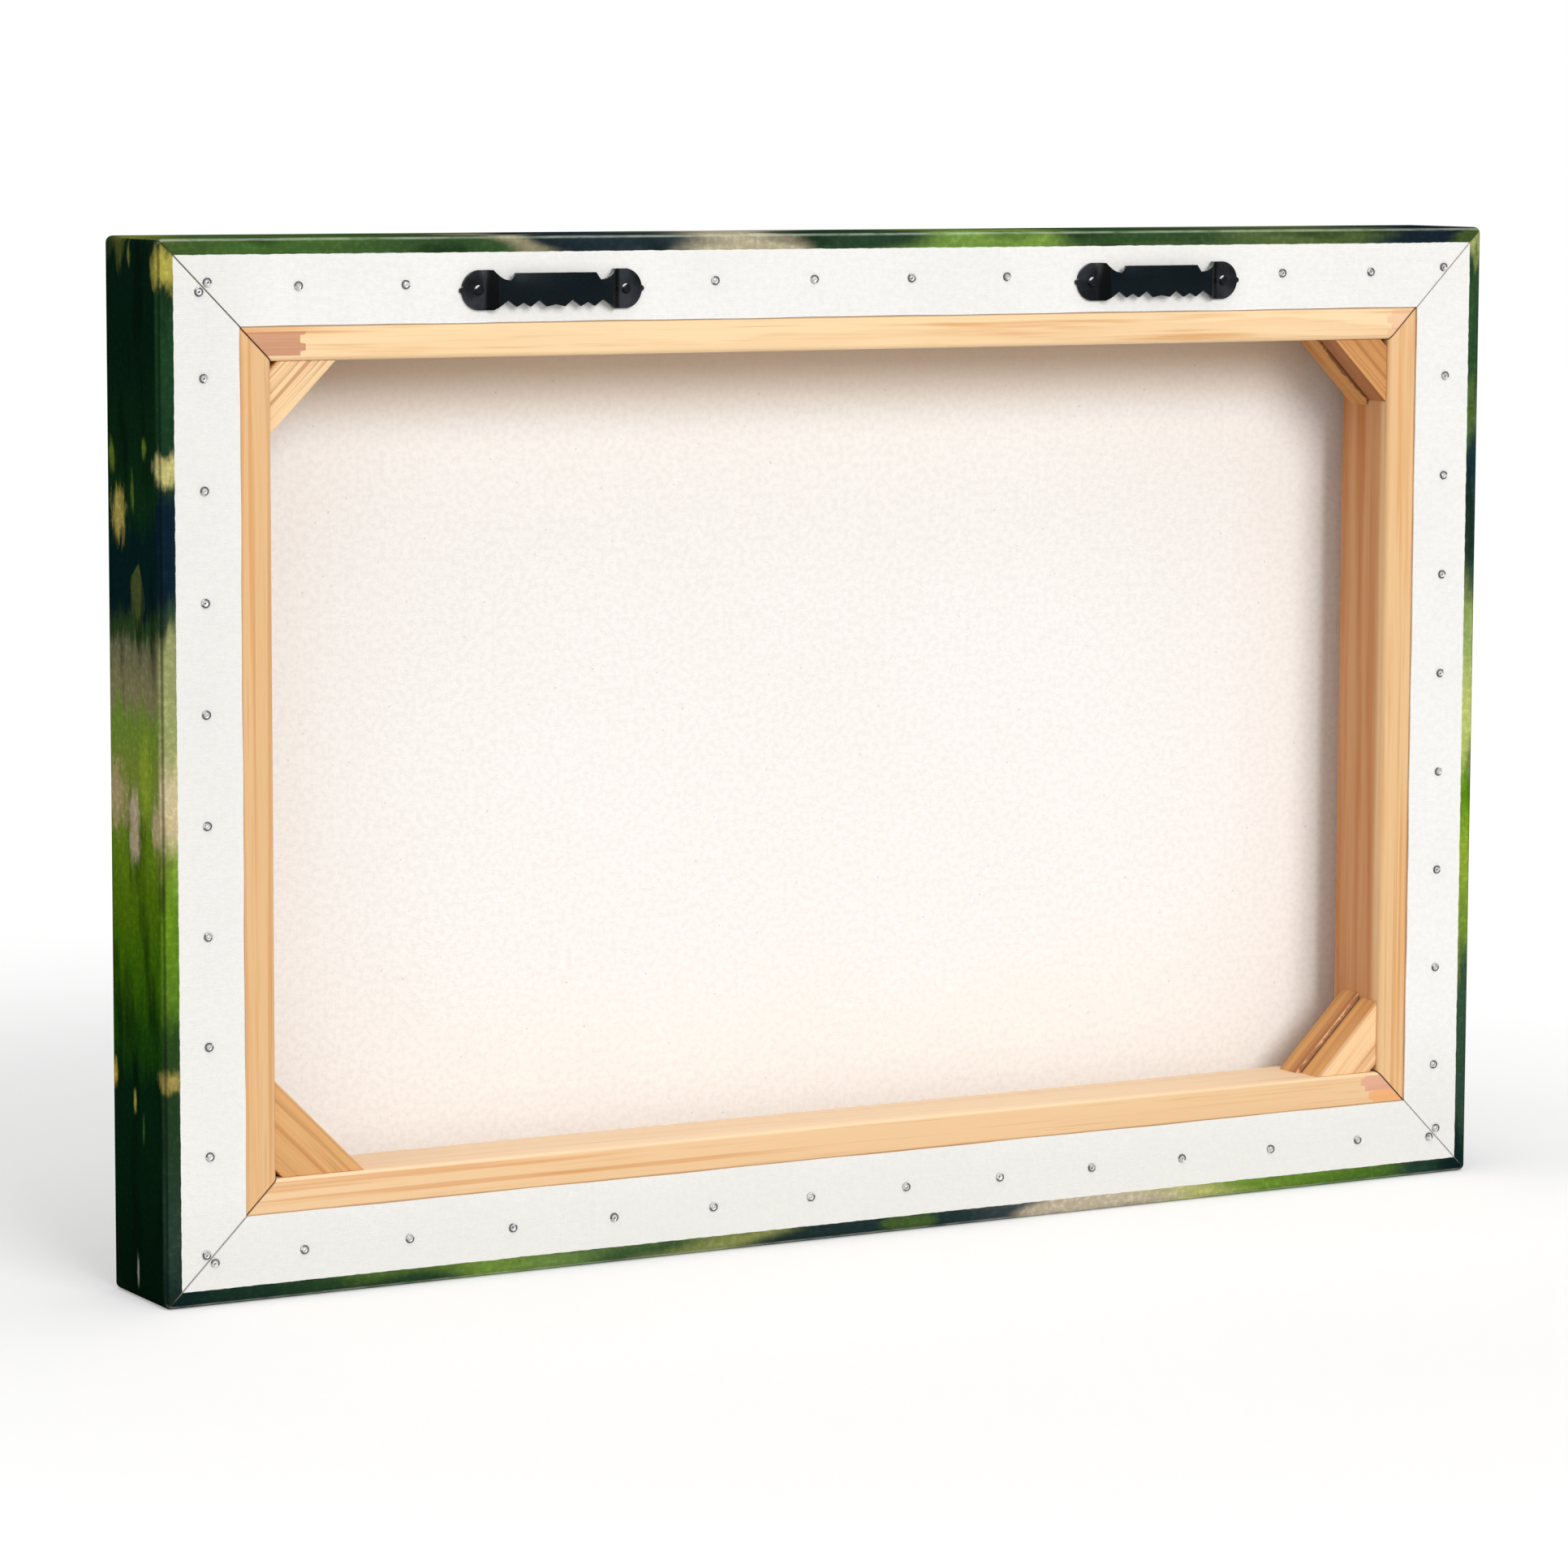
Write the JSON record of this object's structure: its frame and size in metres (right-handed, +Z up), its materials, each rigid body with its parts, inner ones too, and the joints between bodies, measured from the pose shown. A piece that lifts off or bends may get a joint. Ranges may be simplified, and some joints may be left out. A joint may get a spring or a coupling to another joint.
{
  "type": "stretched canvas",
  "caption": "Gallery-wrapped picture canvas folded over a mitred pine stretcher frame, with corner blocks, tacks and sawtooth hangers on the back.",
  "frame": {"origin": "centre of the bottom edge's flat face, midway between the picture and the back of the flaps", "axes": "+Z up; the picture faces -Y and the bare back of the frame faces +Y; +X is to the right as seen from the picture side"},
  "size_m": [0.4572, 0.0414, 0.3048],
  "materials": {
    "canvas": "matte primed cotton canvas, printed on the picture and the sides",
    "pine": "planed, unfinished",
    "pine_block": "sawn, unfinished",
    "black_steel": "satin black",
    "black_nail": "satin black, worn on the head",
    "tack_steel": "dull",
    "nail_steel": "bright"
  },
  "bodies": {
    "root": {"canvas": "canvas", "stretcher_bar_top": "pine", "tacks_top": "tack_steel", "stretcher_bar_bottom": "pine", "tacks_bottom": "tack_steel", "stretcher_bar_left": "pine", "tacks_left": "tack_steel", "stretcher_bar_right": "pine", "tacks_right": "tack_steel", "corner_block_top_left_back": "pine_block", "corner_block_top_left_front": "pine_block", "v_nails_top_left": "nail_steel", "corner_block_top_right_back": "pine_block", "corner_block_top_right_front": "pine_block", "v_nails_top_right": "nail_steel", "corner_block_bottom_left_back": "pine_block", "corner_block_bottom_left_front": "pine_block", "v_nails_bottom_left": "nail_steel", "corner_block_bottom_right_back": "pine_block", "corner_block_bottom_right_front": "pine_block", "v_nails_bottom_right": "nail_steel", "sawtooth_hanger_left": "black_steel", "hanger_nails_left": "black_nail", "sawtooth_hanger_right": "black_steel", "hanger_nails_right": "black_nail"}
  },
  "joints": []
}
